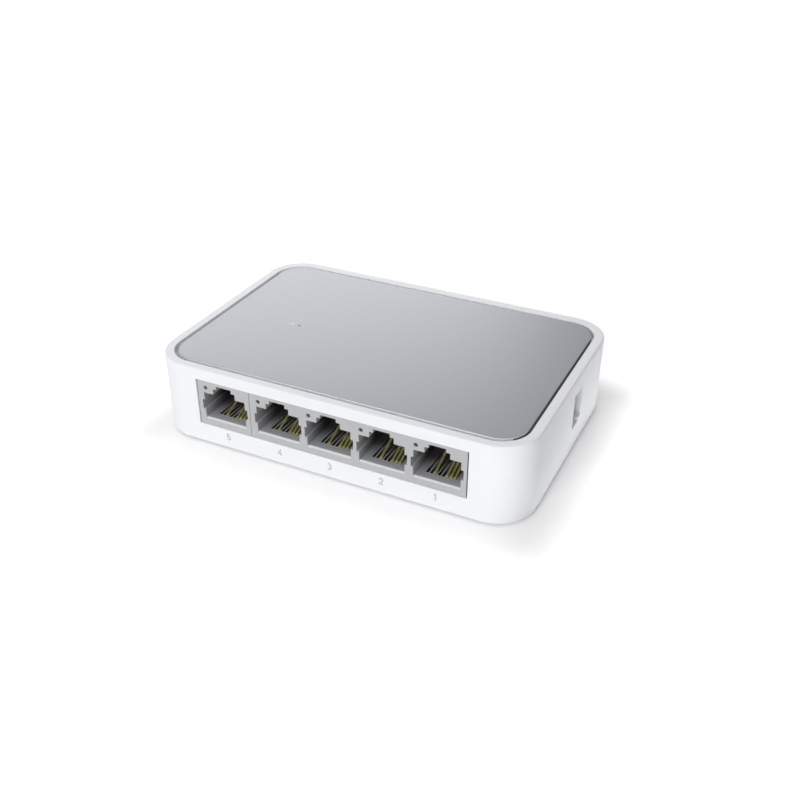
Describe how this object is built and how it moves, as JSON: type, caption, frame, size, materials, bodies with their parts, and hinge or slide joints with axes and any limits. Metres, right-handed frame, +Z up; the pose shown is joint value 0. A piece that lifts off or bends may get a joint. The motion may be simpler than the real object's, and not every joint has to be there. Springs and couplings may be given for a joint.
{
  "type": "desktop network switch",
  "caption": "Low white case with round corners, a satin grey top panel, a row of modular network jacks with sprung contacts and a rear power inlet; links wired network devices.",
  "frame": {"origin": "middle of the footprint, on the plane the feet stand on", "axes": "+X to the right along the port wall as seen from the ports, +Y from the port wall to the rear wall, +Z up"},
  "size_m": [0.1036, 0.07, 0.0225],
  "materials": {
    "case_white": "satin moulded white",
    "panel_grey": "satin metallic grey",
    "board_green": "solder mask over laminate",
    "jack_grey": "moulded grey",
    "contact_gold": "gold plated",
    "comb_grey": "moulded grey",
    "pipe_green": "tinted and clear",
    "pipe_clear": "clear",
    "light_chip": "moulded",
    "inlet_black": "moulded black",
    "plated_metal": "tin plated",
    "chip_black": "moulded black",
    "can_metal": "drawn can",
    "sleeve_blue": "shrunk sleeve",
    "ferrite": "sintered",
    "chip_tan": "sintered",
    "foot_rubber": "matt",
    "screw_steel": "plated"
  },
  "bodies": {
    "case": {"shell": "case_white", "base": "case_white", "top_panel": "panel_grey", "circuit_board": "board_green", "jack_block": "jack_grey", "jack_single": "jack_grey", "port_light_chips": "light_chip", "power_light_chip": "light_chip", "power_light_pipe": "pipe_clear", "inlet_housing": "inlet_black", "inlet_pin": "plated_metal", "inlet_lugs": "plated_metal", "switch_chip": "chip_black", "switch_chip_leads": "plated_metal", "transformer_long": "chip_black", "transformer_short": "chip_black", "crystal": "can_metal", "capacitor_large": "sleeve_blue", "capacitor_small": "sleeve_blue", "inductor": "ferrite", "regulator": "chip_black", "chip_parts": "chip_tan", "foot_front_left": "foot_rubber", "foot_front_right": "foot_rubber", "foot_rear_left": "foot_rubber", "foot_rear_right": "foot_rubber", "base_screws": "screw_steel", "board_screws": "screw_steel", "port_1_tails": "contact_gold", "port_1_comb": "comb_grey", "port_1_light_pipe": "pipe_green", "port_2_tails": "contact_gold", "port_2_comb": "comb_grey", "port_2_light_pipe": "pipe_green", "port_3_tails": "contact_gold", "port_3_comb": "comb_grey", "port_3_light_pipe": "pipe_green", "port_4_tails": "contact_gold", "port_4_comb": "comb_grey", "port_4_light_pipe": "pipe_green", "port_5_tails": "contact_gold", "port_5_comb": "comb_grey", "port_5_light_pipe": "pipe_green"},
    "port_1_contacts": {"port_1_springs": "contact_gold"},
    "port_2_contacts": {"port_2_springs": "contact_gold"},
    "port_3_contacts": {"port_3_springs": "contact_gold"},
    "port_4_contacts": {"port_4_springs": "contact_gold"},
    "port_5_contacts": {"port_5_springs": "contact_gold"},
    "inlet_contact": {"inlet_leaf": "plated_metal"}
  },
  "joints": [
    {"name": "port_1_press", "type": "hinge", "parent": "case", "child": "port_1_contacts", "pos_m": [0.0299, -0.03165, 0.00845], "axis": [-1, 0, 0], "range_deg": [0, 12], "stiffness_Nm_per_rad": 0.1},
    {"name": "port_2_press", "type": "hinge", "parent": "case", "child": "port_2_contacts", "pos_m": [0.01544, -0.03165, 0.00845], "axis": [-1, 0, 0], "range_deg": [0, 12], "stiffness_Nm_per_rad": 0.1},
    {"name": "port_3_press", "type": "hinge", "parent": "case", "child": "port_3_contacts", "pos_m": [0.00098, -0.03165, 0.00845], "axis": [-1, 0, 0], "range_deg": [0, 12], "stiffness_Nm_per_rad": 0.1},
    {"name": "port_4_press", "type": "hinge", "parent": "case", "child": "port_4_contacts", "pos_m": [-0.01348, -0.03165, 0.00845], "axis": [-1, 0, 0], "range_deg": [0, 12], "stiffness_Nm_per_rad": 0.1},
    {"name": "port_5_press", "type": "hinge", "parent": "case", "child": "port_5_contacts", "pos_m": [-0.02924, -0.03165, 0.00845], "axis": [-1, 0, 0], "range_deg": [0, 12], "stiffness_Nm_per_rad": 0.1},
    {"name": "inlet_press", "type": "hinge", "parent": "case", "child": "inlet_contact", "pos_m": [-0.03, 0.0203, 0.00825], "axis": [-1, 0, 0], "range_deg": [0, 6], "stiffness_Nm_per_rad": 0.1}
  ]
}
